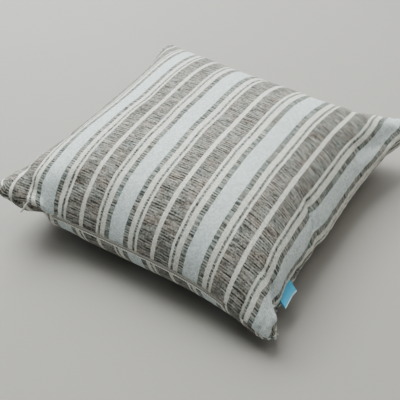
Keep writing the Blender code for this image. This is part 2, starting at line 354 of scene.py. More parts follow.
@dataclass(frozen=True)
class StripedCloth:
    """Thick outdoor weave: wide white stripes, cream pinstripes and ribbed brown bands between them.

    In its patterns, a number beside a coordinate is how many cells of noise go to a millimetre or to a yarn,
    and a number beside a pattern is its share of the whole.
    """

    cloth_width: float = 450.0
    repeat: float = 111.15
    first_middle: float = 33.3
    sway: float = 1.6
    sway_lengths: tuple[float, float] = (70.0, 45.0)
    pitch: float = 1.9
    weft_pitch: float = 1.7
    edge_softness: float = 0.007
    fray: float = 0.006
    relief_depth: float = 0.7 * MM
    even_relief: float = 0.3
    rib_relief: float = 0.5
    row_relief: float = 0.2
    warm: Colour = (1.07, 0.99, 0.94, 1.0)
    cool: Colour = (0.95, 1.01, 1.01, 1.0)
    lot_contrast: float = 2.6
    smoothest: float = 0.72
    wear: float = 0.2
    sheen: float = 0.3
    sheen_roughness: float = 0.5
    gloss: float = 0.1

    def made(self) -> bpy.types.Material:
        """Builds the material, in millimetres of cloth.

        Returns:
            The material.
        """
        graph = Graph("striped_cloth")
        map_across, map_along = graph.map_point(CLOTH_MAP)
        across, along = map_across * self.cloth_width, map_along * self.cloth_width
        sway_across, sway_along = self.sway_lengths
        sway = graph.noise(graph.plane(across * (1 / sway_across), along * (1 / sway_along)))
        across = across + (sway - 0.5) * self.sway
        weave = self.weave(graph, across, along)
        row = self.weft_row(graph, across, along)
        ribs = self.ribs(graph, across, row)
        rungs = self.rungs(graph, across, row)
        show = {Grain.EVEN: weave, Grain.RIBBED: ribs, Grain.RUNGS: rungs}
        frayed = graph.lot(row.whole(), 3.0) - 0.5
        place = graph.math("PINGPONG", (across - self.first_middle) * (1 / self.repeat), 0.5)
        place = place + frayed * self.fray
        first = HALF_REPEAT[0]
        colour = graph.mix(show[first.grain], first.deep, first.pale)
        ribbed = None
        edge = first.edge
        for stripe in HALF_REPEAT[1:]:
            inside = place.above(edge, self.edge_softness)
            colour = graph.mix(inside, colour, graph.mix(show[stripe.grain], stripe.deep, stripe.pale))
            mask = inside * (1 - place.above(stripe.edge, self.edge_softness))
            if stripe.grain is not Grain.EVEN:
                ribbed = mask if ribbed is None else ribbed + mask
            edge = stripe.edge
        dye = graph.noise(graph.plane(across * 0.045, along * 0.05), detail=2.0)
        colour = graph.mix(ribbed, colour, graph.mix(1.0, colour, self.dyed(graph, dye), "MULTIPLY"))
        even_height = weave * (1 - ribbed) * self.even_relief
        ribbed_height = ribbed * (ribs * self.rib_relief + row.rounded() * self.row_relief)
        graph.relief(even_height + ribbed_height, self.relief_depth)
        worn = graph.noise(graph.plane(across * 0.05, along * 0.05), detail=2.0)
        return graph.finish(
            colour,
            self.smoothest + worn * self.wear,
            Sheen_Weight=self.sheen,
            Sheen_Roughness=self.sheen_roughness,
            Specular_IOR_Level=self.gloss,
        )

    def dyed(self, graph: Graph, dye: Value) -> bpy.types.NodeSocket:
        """Tint of a slowly changing yarn lot, from warm to cool."""
        return graph.mix(dye.tuned(0.5, self.lot_contrast, 0.5), self.warm, self.cool)

    def weave(self, graph: Graph, across: Value, along: Value) -> Value:
        """Show of a plain weave of round yarns, 0 in its gaps and 1 on its crowns.

        Args:
            graph: The material's graph.
            across: Millimetres across the stripes.
            along: Millimetres along the stripes.

        Returns:
            The show.
        """
        warp, weft = across * (1 / self.pitch), along * (1 / self.pitch)
        warp_over = (warp.whole() + weft.whole()).odd()
        over, under = warp.rounded(), weft.rounded()
        crowns = warp_over * over + (1 - warp_over) * under
        knots = graph.lot(warp.whole(), weft.whole())
        uneven = graph.noise(graph.plane(across * 0.42, along * 0.42), detail=1.0)
        return (crowns * 0.36 + over * under * 0.28 + knots * 0.50 + uneven * 0.12 - 0.125).clamped()

    def weft_row(self, graph: Graph, across: Value, along: Value) -> Value:
        """Number of the weft yarn at a point: the yarns wander a little as they cross the bands.

        Args:
            graph: The material's graph.
            across: Millimetres across the stripes.
            along: Millimetres along the stripes.

        Returns:
            The yarn's number, with its fraction from one side of the yarn to the other.
        """
        wander = graph.noise(graph.plane(across * 0.03, along * 0.02)) * 1.8
        wobble = graph.noise(graph.plane(across * 0.16, along * 0.12 + 30)) * 0.6
        return (along + wander + wobble + across * 0.03) * (1 / self.weft_pitch)

    def ribs(self, graph: Graph, across: Value, row: Value) -> Value:
        """Uneven weft that runs right across a band as dark and light ribs, two yarns or more to a rib.

        Args:
            graph: The material's graph.
            across: Millimetres across the stripes.
            row: Number of the weft yarn.

        Returns:
            Show of the pale yarn, 0 to 1.
        """
        yarn = row.whole()
        slubs = graph.noise(graph.plane(across * 0.065, yarn * 3.7), detail=1.0)
        specks = graph.noise(graph.plane(across * 0.4, yarn * 5.3 + 11), detail=0.0)
        thick_ribs = graph.noise(graph.plane(across * 0.06, row * 0.88 + 70), detail=0.0)
        tone = graph.noise(graph.plane(across * 0.02, row * 0.10 + 90), detail=1.0)
        total = yarn.odd() * 0.20 + slubs * 1.20 + specks * 0.75 + thick_ribs * 0.40 + tone * 0.15
        total = total + self.groups(graph, across, row, 3.1) * 0.15
        return total.tuned(middle=1.425, contrast=1.2, level=0.45)

    def rungs(self, graph: Graph, across: Value, row: Value) -> Value:
        """Short rungs of paler weft over a dark warp.

        Args:
            graph: The material's graph.
            across: Millimetres across the stripes.
            row: Number of the weft yarn.

        Returns:
            Show of the pale yarn, 0 to 1.
        """
        yarn = row.whole()
        steps = graph.noise(graph.plane(across * 0.08, yarn * 4.1 + 23), detail=0.0)
        waves = graph.noise(graph.plane(across * 0.05, row * 0.82 + 50), detail=0.0)
        specks = graph.noise(graph.plane(across * 0.5, yarn * 5.9), detail=0.0)
        total = yarn.odd() * 0.24 + steps * 1.2 + waves * 0.55 + specks * 0.6
        total = total + self.groups(graph, across, row, 3.4) * 0.22
        return total.tuned(middle=1.405, contrast=1.3, level=0.49)

    def groups(self, graph: Graph, across: Value, row: Value, yarns: float) -> Value:
        """Swell and fall of the weft where every few yarns lie closer together, at uneven distances."""
        stray = graph.noise(graph.plane(across * 0.008, row * 0.11 + 60), detail=0.0) * 3.0
        return graph.wave(row * (1 / yarns) + stray)


@dataclass(frozen=True)
class ZipTape:
    """Woven tape: fine ribs along its length, with a pale stitched line near its lower edge that is partly
    its edge thread and partly a painted highlight of the fold there.
    """

    deep: Colour = srgb(122, 119, 111)
    pale: Colour = srgb(206, 204, 196)
    thread_and_highlight: Colour = srgb(240, 239, 232)
    thread_and_highlight_at: float = 0.82
    thread_and_highlight_width: float = 0.20
    thread_and_highlight_softness: float = 0.03
    rib_count: float = 6.0
    stitch_count: float = 115.0
    relief_depth: float = 0.2 * MM

    def made(self) -> bpy.types.Material:
        """Builds the material on the tape's own map, whose second coordinate runs down the tape.

        Returns:
            The material.
        """
        graph = Graph("zip_tape")
        along, down = graph.map_point(CLOTH_MAP)
        threads = graph.wave(down * self.rib_count)
        speckle = graph.noise(graph.plane(along * 260, down * 7), detail=1.0)
        show = (threads * 0.5 + speckle * 1.3 - 0.4).clamped()
        colour = graph.mix(show, self.deep, self.pale)
        # Pale line near the lower edge: partly the tape's stitched edge thread, partly a painted highlight
        # along the fold below it.
        near = 1 - abs(down - self.thread_and_highlight_at).above(self.thread_and_highlight_width / 2, self.thread_and_highlight_softness)
        stitches = 0.3 + graph.wave(along * self.stitch_count) * 0.7
        colour = graph.mix(near * stitches, colour, self.thread_and_highlight)
        graph.relief(show * 0.5 + near * 0.5, self.relief_depth)
        return graph.finish(colour, 0.8 + speckle * 0.1)


@dataclass(frozen=True)
class Coil:
    """Plain nylon of the zip's coil."""

    deep: Colour = srgb(96, 93, 87)
    pale: Colour = srgb(150, 147, 139)

    def made(self) -> bpy.types.Material:
        """Builds the material.

        Returns:
            The material.
        """
        graph = Graph("zip_coil")
        cloudy = graph.noise(graph.object_point(), detail=2.0, scale=400.0)
        return graph.finish(graph.mix(cloudy, self.deep, self.pale), 0.35 + cloudy * 0.2)


@dataclass(frozen=True)
class CastMetal:
    """Bright cast metal with a fine brushed finish."""

    name: str
    deep: Colour = srgb(236, 235, 231)
    pale: Colour = srgb(253, 252, 249)
    metallic: float = 0.0
    stretch: tuple[float, float, float] = (1.0, 1.0, 12.0)
    fineness: float = 900.0
    relief_depth: float = 0.02 * MM

    def made(self) -> bpy.types.Material:
        """Builds the material.

        Returns:
            The material.
        """
        graph = Graph(self.name)
        inputs = {"Vector": graph.object_point(), "Scale": self.stretch}
        place = graph.node("ShaderNodeMapping", {}, inputs)
        brushed = graph.noise(place.outputs["Vector"], detail=3.0, scale=self.fineness)
        graph.relief(brushed, self.relief_depth)
        colour = graph.mix(brushed, self.deep, self.pale)
        return graph.finish(colour, 0.38 + brushed * 0.2, Metallic=self.metallic)


@dataclass(frozen=True)
class Ribbon:
    """Blue woven ribbon, with fine ribs across it and a pale line along its folded edge that is partly a
    thread and partly a painted highlight of the fold.
    """

    deep: Colour = srgb(70, 178, 221)
    pale: Colour = srgb(142, 219, 247)
    thread_and_highlight: Colour = srgb(236, 246, 248)
    thread_and_highlight_at: float = 0.465
    thread_and_highlight_width: float = 0.036
    thread_and_highlight_softness: float = 0.012
    thread_and_highlight_cover: float = 0.85
    rib_count: float = 40.0
    relief_depth: float = 0.15 * MM

    def made(self) -> bpy.types.Material:
        """Builds the material on the ribbon's own map: along its width, and out from root to root.

        Returns:
            The material.
        """
        graph = Graph("blue_ribbon")
        along, out = graph.map_point(CLOTH_MAP)
        ribs = graph.wave(out * self.rib_count)
        yarns = graph.noise(graph.plane(along * 60, out * 90), detail=1.0)
        show = (ribs * 0.35 + yarns * 0.75 - 0.05).clamped()
        colour = graph.mix(show, self.deep, self.pale)
        # Pale line beside the fold: partly a thread, partly a painted highlight where the folded edge catches
        # the light.
        to_fold = abs(out - 0.5)
        from_thread_and_highlight = abs(to_fold - (0.5 - self.thread_and_highlight_at))
        near = 1 - from_thread_and_highlight.above(self.thread_and_highlight_width / 2, self.thread_and_highlight_softness)
        colour = graph.mix(near * self.thread_and_highlight_cover, colour, self.thread_and_highlight)
        graph.relief(show * 0.5 + near * 0.5, self.relief_depth)
        return graph.finish(colour, 0.42 + yarns * 0.15, Sheen_Weight=0.25)


@dataclass(frozen=True)
class FloorPaint:
    """Matt pale floor."""

    deep: Colour = srgb(178, 175, 170)
    pale: Colour = srgb(186, 183, 178)

    def made(self) -> bpy.types.Material:
        """Builds the material.

        Returns:
            The material.
        """
        graph = Graph("floor_paint")
        cloudy = graph.noise(graph.object_point(), detail=2.0, scale=1.5)
        return graph.finish(graph.mix(cloudy, self.deep, self.pale), 0.9)


def add_piece(name: str, bm: bmesh.types.BMesh, finish: bpy.types.Material | None) -> bpy.types.Object:
    """Turns a bmesh into a smooth-shaded object at the origin.

    Args:
        name: The piece's name.
        bm: Its shape, which is freed.
        finish: Its material, or None for a shape that only helps to make another.

    Returns:
        The object.
    """
    mesh = bpy.data.meshes.new(name)
    bm.normal_update()
    bm.to_mesh(mesh)
    bm.free()
    if finish:
        mesh.materials.append(finish)
    mesh.shade_smooth()
    piece = bpy.data.objects.new(name, mesh)
    bpy.context.scene.collection.objects.link(piece)
    return piece


def aimed(
    name: str,
    data: bpy.types.Camera | bpy.types.Light,
    bearing: tuple[float, float],
    away: float,
    target: tuple[float, float, float] = (0.0, 0.0, 0.0),
) -> bpy.types.Object:
    """Hangs a camera or a lamp about a point, turned to face it.

    Args:
        name: Its name.
        data: The camera or lamp.
        bearing: Its azimuth from the front seam's side, and its height above the horizon.
        away: Its distance from the point.
        target: The point.

    Returns:
        The object.
    """
    azimuth, elevation = bearing
    level = math.cos(elevation)
    back = Vector((math.sin(azimuth) * level, -math.cos(azimuth) * level, math.sin(elevation)))
    made = bpy.data.objects.new(name, data)
    made.location = Vector(target) + back * away
    made.rotation_euler = (math.pi / 2 - elevation, 0.0, azimuth)
    bpy.context.scene.collection.objects.link(made)
    return made


@dataclass
class Camera:
    """A plain camera that looks at a point of the cushion from a bearing, at the photograph's framing."""

    azimuth: float = math.radians(31.57)
    elevation: float = math.radians(42.86)
    distance: float = 0.9125
    target: tuple[float, float, float] = (0.03417, -0.08352, 0.074)
    lens: float = 62.98
    sensor: float = 36.0

    def build(self) -> None:
        """Places the camera and makes it the scene's."""
        data = bpy.data.cameras.new("camera")
        data.lens = self.lens
        data.sensor_width = self.sensor
        bearing = (self.azimuth, self.elevation)
        bpy.context.scene.camera = aimed("camera", data, bearing, self.distance, self.target)


class Softbox(NamedTuple):
    """One large square lamp: its name, its azimuth and height in degrees, its power and its tint."""

    name: str
    azimuth: float
    elevation: float
    power: float
    tint: tuple[float, float, float]


@dataclass
class Studio:
    """Pale floor, soft lamps and an even surround."""

    floor_side: float = 60.0
    surround: tuple[float, float, float] = (0.94, 1.0, 1.04)
    surround_strength: float = 0.175
    lamp_distance: float = 2.5
    lamp_side: float = 1.7
    lamps: tuple[Softbox, ...] = (
        Softbox("key_lamp", -112.0, 60.0, 45.0, (0.96, 1.0, 1.0)),
        Softbox("left_lamp", -150.0, 30.0, 13.1, (0.96, 0.98, 1.0)),
        Softbox("low_lamp", -110.0, 30.0, 12.9, (0.98, 0.98, 1.0)),
        Softbox("back_lamp", 120.0, 45.0, 7.8, (1.0, 0.95, 0.87)),
        Softbox("top_lamp", 0.0, 88.0, 9.3, (1.0, 1.0, 0.98)),
    )

    def build(self) -> None:
        """Makes the floor, the lamps and the surround."""
        bm = bmesh.new()
        bmesh.ops.create_grid(bm, x_segments=1, y_segments=1, size=self.floor_side / 2)
        add_piece("floor", bm, FloorPaint().made())
        for lamp in self.lamps:
            self.hang(lamp)
        world = bpy.data.worlds.new("surround")
        world.use_nodes = True
        shader = world.node_tree.nodes["Background"]
        shader.inputs["Color"].default_value = (*self.surround, 1.0)
        shader.inputs["Strength"].default_value = self.surround_strength
        bpy.context.scene.world = world
        bpy.context.scene.view_settings.view_transform = "AgX"
        bpy.context.scene.view_settings.look = "AgX - High Contrast"

    def hang(self, lamp: Softbox) -> None:
        """Hangs one lamp, turned to the middle of the floor.

        Args:
            lamp: The lamp.
        """
        data = bpy.data.lights.new(lamp.name, "AREA")
        data.size = self.lamp_side
        data.energy = lamp.power
        data.color = lamp.tint
        bearing = (math.radians(lamp.azimuth), math.radians(lamp.elevation))
        aimed(lamp.name, data, bearing, self.lamp_distance)


class Corner(NamedTuple):
    """One sewn corner: its side in u and v, its height, and how far the filling pulls it in plan."""

    u: int
    v: int
    height: float
    pull_x: float
    pull_y: float


class Fold(NamedTuple):
    """A soft trough from one cloth point to another (a ridge if its depth is negative), with its lift."""

    u0: float
    v0: float
    u1: float
    v1: float
    spread: float
    depth: float
    lift: float = 0.0


class Pull(NamedTuple):
    """A soft pull of the cloth about one of its points, by a distance along each axis.

    It reaches the top panel, the back panel or both, and fades over its two reaches.
    """

    u: float
    v: float
    reach_u: float
    reach_v: float
    move: tuple[float, float, float]
    top: bool = True
    back: bool = True


class Drift(NamedTuple):
    """How many millimetres to the right a panel's stripes run out of the straight, about a cloth point."""

    u: float
    v: float
    reach_u: float
    reach_v: float
    aside: float
    back: bool = False


class Bulge:
    """The rounded section of a filled panel: full height in the middle, none at the seam."""

    SAMPLES = 400
    STEEPEST = 0.7
    SLOPE_COUNT = 29

    def __init__(self, squareness: float, fullness: float, panel_half: float) -> None:
        """Works out how much cloth the section takes at a row of slopes.

        Args:
            squareness: How square the section's shoulders are.
            fullness: How steeply it meets the seam.
            panel_half: Half the width of the flat panel.
        """
        self.squareness = squareness
        self.fullness = fullness
        self.panel_half = panel_half
        self.reach = np.sin(np.linspace(0.0, math.pi / 2, self.SAMPLES))
        self.slopes = np.linspace(0.0, self.STEEPEST, self.SLOPE_COUNT)
        self.lengths = np.array([self.cloth_along(slope)[-1] for slope in self.slopes])

    def height(self, reach: np.ndarray) -> np.ndarray:
        """Height, as a share of the rise, at a share of the half width."""
        return np.clip(1.0 - np.abs(reach) ** self.squareness, 0.0, None) ** self.fullness

    def cloth_along(self, slope: float) -> np.ndarray:
        """Cloth used from the middle out, for a half width of 1 and a rise of slope."""
        steps = np.hypot(np.diff(self.reach), slope * np.diff(self.height(self.reach)))
        return np.concatenate([[0.0], np.cumsum(steps)])

    def half_width(self, rise: float) -> float:
        """Plan half width that a panel's cloth is drawn in to by this rise.

        Args:
            rise: Height of the bulge in the middle.

        Returns:
            The half width.
        """
        rises = self.slopes * self.panel_half / self.lengths
        slope = np.interp(rise, rises, self.slopes)
        return self.panel_half / float(np.interp(slope, self.slopes, self.lengths))

    def spread(self, rise: float, half: float, cloth: np.ndarray) -> np.ndarray:
        """Plan shares at which evenly laid cloth points come to lie.

        Args:
            rise: Height of the bulge in the middle.
            half: Plan half width.
            cloth: Cloth coordinates, -1 to 1.

        Returns:
            Shares of the half width, -1 to 1.
        """
        along = self.cloth_along(rise / half)
        shares = np.interp(np.abs(cloth), along / along[-1], self.reach)
        return np.sign(cloth) * shares


@dataclass
class FilledShape:
    """The filled form of the two sewn panels, as the frame's solid has it, at any cloth points."""

    panel_half: float = 225 * MM
    crown_rise: float = 82.7 * MM
    top_bulge: tuple[float, float] = (3.3, 0.64)
    back_bulge: tuple[float, float] = (3.3, 0.42)
    back_flatness: float = 1.16
    contact_ease: float = 1.5
    corner_round: float = 0.09
    corner_round_reach: int = 6
    row_fall: tuple[float, float] = (3.48, 0.93)
    seam_ease: float = 1.5
    corner_reach: float = 8.2
    corners: tuple[Corner, ...] = (
        Corner(-1, -1, 88 * MM, 30 * MM, 6 * MM),
        Corner(1, -1, 19 * MM, -23 * MM, 31 * MM),
        Corner(1, 1, 78 * MM, -6 * MM, -4 * MM),
        Corner(-1, 1, 73 * MM, 6 * MM, 1 * MM),
    )
    mid_seams: tuple[float, float, float, float] = (56 * MM, 38 * MM, 70 * MM, 76 * MM)
    folds: tuple[Fold, ...] = (
        Fold(0.78, -0.70, 1.00, -0.76, 0.050, 6.0 * MM),
        Fold(1.00, -0.58, 1.00, -0.70, 0.130, 11.0 * MM),
        Fold(0.74, -0.14, 0.98, -0.20, 0.050, 3.5 * MM),
        Fold(0.84, 0.50, 0.92, 0.80, 0.055, 5.0 * MM),
        Fold(-0.68, -0.92, -0.90, -0.74, 0.045, 4.5 * MM),
        Fold(0.33, 0.99, 0.36, 0.84, 0.035, 3.0 * MM),
        Fold(0.65, 0.99, 0.62, 0.84, 0.035, 3.5 * MM),
        Fold(-0.66, -1.00, -0.73, -1.00, 0.060, -1.5 * MM, 5.5 * MM),
    )

    def seam_height(self, u: np.ndarray, v: np.ndarray) -> np.ndarray:
        """Height of the surface that spans the four seams.

        Args:
            u: Cloth coordinates along the front seam.
            v: Cloth coordinates along the stripes.

        Returns:
            The heights.
        """
        a, b = (1 + u) / 2, (1 + v) / 2
        left_front, right_front, right_back, left_back = (corner.height for corner in self.corners)
        front_middle, right_middle, back_middle, left_middle = self.mid_seams
        ease_u, ease_v = np.abs(u) ** self.seam_ease, np.abs(v) ** self.seam_ease
        front_line, back_line = (1 - a) * left_front + a * right_front, (1 - a) * left_back + a * right_back
        left_line, right_line = (1 - b) * left_front + b * left_back, (1 - b) * right_front + b * right_back
        front = front_middle + (front_line - front_middle) * ease_u
        back = back_middle + (back_line - back_middle) * ease_u
        left = left_middle + (left_line - left_middle) * ease_v
        right = right_middle + (right_line - right_middle) * ease_v
        corners_only = (1 - b) * front_line + b * back_line
        return (1 - b) * front + b * back + (1 - a) * left + a * right - corners_only

    def fold_moves(self, u: np.ndarray, v: np.ndarray) -> tuple[np.ndarray, np.ndarray]:
        """How far the folds draw the cloth in, and lift it, at each cloth point.

        Args:
            u: Cloth coordinates along the front seam.
            v: Cloth coordinates along the stripes.

        Returns:
            How far in, and how far up.
        """
        depth, lift = np.zeros_like(u), np.zeros_like(u)
        for fold in self.folds:
            share = trough(u, v, fold)
            depth += fold.depth * share
            lift += fold.lift * share
        return depth, lift

    def plan_points(self, bulge: Bulge, cloth: np.ndarray) -> tuple[np.ndarray, np.ndarray, np.ndarray]:
        """Plan x, plan y and bulge height over a grid of cloth points.

        Args:
            bulge: Section of this panel.
            cloth: One row of cloth coordinates.

        Returns:
            The three, each over the grid.
        """
        top = Bulge(*self.top_bulge, self.panel_half)
        power, fullness = self.row_fall
        shares = np.empty((len(cloth), len(cloth)))
        halves = np.empty(len(cloth))
        for row, place in enumerate(cloth):
            fall = max(1.0 - abs(place) ** power, 0.0) ** fullness
            halves[row] = top.half_width(self.crown_rise * fall)
            shares[row] = bulge.spread(self.crown_rise * fall, halves[row], cloth)
        x = halves[None, :] * shares.T
        y = halves[:, None] * shares
        return x, y, bulge.height(shares.T) * bulge.height(shares)

    def lifted(self, full: np.ndarray) -> np.ndarray:
        """Share of the seam's height at which the back panel lies, 0 where it rests."""
        return (1 - np.clip(self.back_flatness * full, 0.0, 1.0)) ** self.contact_ease

    def corner_scale(self, u: np.ndarray, v: np.ndarray) -> np.ndarray:
        """Plan scale that rounds the sewn corners and leaves the rest of the cloth alone.

        Args:
            u: Cloth coordinates along the front seam.
            v: Cloth coordinates along the stripes.

        Returns:
            The scale at each point.
        """
        reach = np.maximum(np.maximum(np.abs(u), np.abs(v)), MM)
        slant = np.minimum(np.abs(u), np.abs(v)) / reach
        centre = 1 - self.corner_round
        across = 1 + slant**2
        root = (centre * (1 + slant)) ** 2 - across * (2 * centre**2 - self.corner_round**2)
        edge = (centre * (1 + slant) + np.sqrt(np.clip(root, 0.0, None))) / across
        edge = np.where(slant > centre, edge, 1.0)
        return 1 + (edge - 1) * reach**self.corner_round_reach

    def panel(self, cloth: np.ndarray, is_top: bool) -> np.ndarray:
        """Points of one panel, on a square grid of cloth points, before its box is centred.

        Args:
            cloth: One row of cloth coordinates.
            is_top: Whether it is the top panel.

        Returns:
            The points.
        """
        u, v = np.meshgrid(cloth, cloth, indexing="ij")
        bulge = Bulge(*(self.top_bulge if is_top else self.back_bulge), self.panel_half)
        x, y, full = self.plan_points(bulge, cloth)
        seam = self.seam_height(u, v)
        height = seam + self.crown_rise * full if is_top else seam * self.lifted(full)
        points = np.stack([x, y, height], axis=2)
        points[..., :2] *= self.corner_scale(u, v)[..., None]
        for corner in self.corners:
            weight = ((1 + corner.u * u) / 2 * (1 + corner.v * v) / 2) ** self.corner_reach
            points[..., 0] += weight * corner.pull_x
            points[..., 1] += weight * corner.pull_y
        drawn, lift = (moves[..., None] for moves in self.fold_moves(u, v))
        points += lift * (0.0, 0.0, 1.0) * (1.0 if is_top else self.lifted(full)[..., None])
        if is_top:
            return points - drawn * outward(points, self.mid_seams[0])
        to_middle = points * (-1.0, -1.0, 0.0)
        to_middle /= np.maximum(np.linalg.norm(to_middle, axis=2, keepdims=True), MM)
        return points + drawn * to_middle

    def panels(self, cloth: np.ndarray) -> tuple[np.ndarray, np.ndarray]:
        """The top and back panels in the frame's axes, which share the points of their seam.

        Args:
            cloth: One row of cloth coordinates.

        Returns:
            The points of the top panel and of the back one.
        """
        top, back = self.panel(cloth, True), self.panel(cloth, False)
        for edge in (np.s_[0, :], np.s_[-1, :], np.s_[:, 0], np.s_[:, -1]):
            back[edge] = top[edge]
        low = np.minimum(top.min(axis=(0, 1)), back.min(axis=(0, 1)))
        shift = np.array(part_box("cushion")[0]) - low
        return top + shift, back + shift


def trough(u: np.ndarray, v: np.ndarray, fold: Fold) -> np.ndarray:
    """Share, from 0 to 1, to which a fold reaches each cloth point.

    Args:
        u: Cloth coordinates along the front seam.
        v: Cloth coordinates along the stripes.
        fold: The fold.

    Returns:
        The shares.
    """
    run = np.array([fold.u1 - fold.u0, fold.v1 - fold.v0])
    along = ((u - fold.u0) * run[0] + (v - fold.v0) * run[1]) / (run @ run)
    along = np.clip(along, 0.0, 1.0)
    away = np.hypot(u - fold.u0 - along * run[0], v - fold.v0 - along * run[1])
    return np.exp(-((away / fold.spread) ** 2))


def outward(points: np.ndarray, middle_height: float) -> np.ndarray:
    """Unit normals of a grid of points, turned away from the filling's middle.

    Args:
        points: The grid.
        middle_height: Height of the filling's middle.

    Returns:
        The normals.
    """
    along_u = np.gradient(points, axis=0)
    along_v = np.gradient(points, axis=1)
    normals = np.cross(along_u, along_v)
    normals /= np.maximum(np.linalg.norm(normals, axis=2, keepdims=True), 1e-12)
    middle = np.array([0.0, 0.0, middle_height])
    facing = np.sum(normals * (points - middle), axis=2, keepdims=True)
    return normals * np.sign(facing)


def cubic_resample(coarse: int, fine: int) -> np.ndarray:
    """Weights that carry values from a coarse even row of points to a fine one, smoothly.

    Args:
        coarse: Cells of the coarse row.
        fine: Cells of the fine row.

    Returns:
        One row of weights for each fine point.
    """
    place = np.linspace(0.0, coarse, fine + 1)
    before = np.minimum(place.astype(int), coarse - 1)
    t = place - before
    shares = (-t + 2 * t**2 - t**3, 2 - 5 * t**2 + 3 * t**3, t + 4 * t**2 - 3 * t**3, -(t**2) + t**3)
    weights = np.zeros((fine + 1, coarse + 1))
    for step, share in enumerate(shares):
        column = np.clip(before + step - 1, 0, coarse)
        np.add.at(weights, (np.arange(fine + 1), column), share / 2)
    return weights


@dataclass
class ClothSettling:
    """Cloth simulation that lets both panels settle, from flat cuts, over the filling's pressure."""

    shape: FilledShape
    cells: int = 60
    frames: int = 20
    pressure: float = 1.6
    rounds: int = 26
    kept_sag: float = 0.12
    most: float = 6.0 * MM
    rest_height: float = 1.5 * MM

    def moves(self, fine_cells: int, ease: float) -> tuple[np.ndarray, np.ndarray]:
        """Runs the simulation.

        Args:
            fine_cells: Cells of the finished panels.
            ease: How much closer the cloth points lie at the seams.

        Returns:
            How far each point of the finished top and back panels moves.
        """
        cloth = cloth_points(self.cells, ease)
        bm = bmesh.new()
        lay_panels(bm, self.shape.panels(cloth), self.cells)
        bmesh.ops.remove_doubles(bm, verts=bm.verts, dist=0.01 * MM)
        bm.verts.index_update()
        row, column, side = (bm.verts.layers.int[name] for name in ("row", "column", "side"))
        places = np.array([(vert[row], vert[column], vert[side]) for vert in bm.verts])
        start = np.array([vert.co for vert in bm.verts])
        edges = np.array([[vert.index for vert in edge.verts] for edge in bm.edges])
        piece = add_piece("settling_cloth", bm, None)
        settled = self.run(piece, places, start, cloth)
        moved = settled - start
        moved -= self.smoothed(moved, edges) * (1 - self.kept_sag)
        length = np.linalg.norm(moved, axis=1, keepdims=True)
        moved *= np.tanh(length / self.most) * self.most / np.maximum(length, 1e-9)
        bpy.data.objects.remove(piece)
        panels = []
        weights = cubic_resample(self.cells, fine_cells)
        grid_places = places[:, :2]
        on_rim = (grid_places.min(axis=1) == 0) | (grid_places.max(axis=1) == self.cells)
        for wanted in (1, 0):
            chosen = on_rim | (places[:, 2] == wanted)
            values = np.zeros((self.cells + 1, self.cells + 1, 3))
            values[places[chosen, 0], places[chosen, 1]] = moved[chosen]
            panels.append(np.einsum("ia,abk,jb->ijk", weights, values, weights))
        return panels[0], panels[1]

    def run(
        self, piece: bpy.types.Object, places: np.ndarray, start: np.ndarray, cloth: np.ndarray
    ) -> np.ndarray:
        """Simulates the cloth, from its filled form towards flat cuts that the pressure holds out.

        Args:
            piece: The two panels, sewn together.
            places: Row, column and side of each point.
            start: Where each point is over the filled shape.
            cloth: One row of cloth coordinates.

        Returns:
            Where each point ends.
        """
        half = self.shape.panel_half
        piece.shape_key_add(name="filled")
        flat = piece.shape_key_add(name="flat")
        for point, (row, column, _) in zip(flat.data, places):
            point.co = (cloth[row] * half, cloth[column] * half, 0.0)
        resting = (start[:, 2] < self.rest_height) & (places[:, 2] == 0)
        group = piece.vertex_groups.new(name="resting")
        group.add([int(index) for index in np.flatnonzero(resting)], 1.0, "REPLACE")
        settling = piece.modifiers.new("settling", "CLOTH")
        cloth_settings = settling.settings
        cloth_settings.quality = 6
        cloth_settings.mass = 0.25
        cloth_settings.tension_stiffness = 60
        cloth_settings.compression_stiffness = 12
        cloth_settings.shear_stiffness = 8
        cloth_settings.bending_stiffness = 1.2
        cloth_settings.air_damping = 3
        cloth_settings.use_pressure = True
        cloth_settings.uniform_pressure_force = self.pressure
        cloth_settings.effector_weights.gravity = 0.0
        cloth_settings.rest_shape_key = flat
        cloth_settings.vertex_group_mass = group.name
        settling.collision_settings.use_collision = False
        settling.collision_settings.use_self_collision = False
        settling.point_cache.frame_start = 1
        settling.point_cache.frame_end = self.frames
        for frame in range(1, self.frames + 1):
            bpy.context.scene.frame_set(frame)
        graph = bpy.context.evaluated_depsgraph_get()
        mesh = piece.evaluated_get(graph).to_mesh()
        settled = np.empty(len(mesh.vertices) * 3)
        mesh.vertices.foreach_get("co", settled)
        bpy.context.scene.frame_set(1)
        return settled.reshape(-1, 3)

    def smoothed(self, values: np.ndarray, edges: np.ndarray) -> np.ndarray:
        """The broad part of some values over the cloth, with their fine part averaged away.

        Args:
            values: The values, one row for each point.
            edges: The two points of each edge.

        Returns:
            The broad part, one row for each point.
        """
        count = np.bincount(edges.ravel(), minlength=len(values))[:, None]
        for _ in range(self.rounds):
            total = np.zeros_like(values)
            np.add.at(total, edges[:, 0], values[edges[:, 1]])
            np.add.at(total, edges[:, 1], values[edges[:, 0]])
            values = (values + total / count) / 2
        return values


def cloth_points(cells: int, ease: float) -> np.ndarray:
    """Cloth coordinates of one row of points, closer together at the seams."""
    even = np.linspace(-1.0, 1.0, cells + 1)
    return even * (1 + ease) - ease * even**3


def beside_seam(away: np.ndarray, reach: float) -> np.ndarray:
    """A swelling along a seam: 0 at the seam, 1 at its reach from it, and less farther off."""
    return away / reach * np.exp(1 - away / reach)


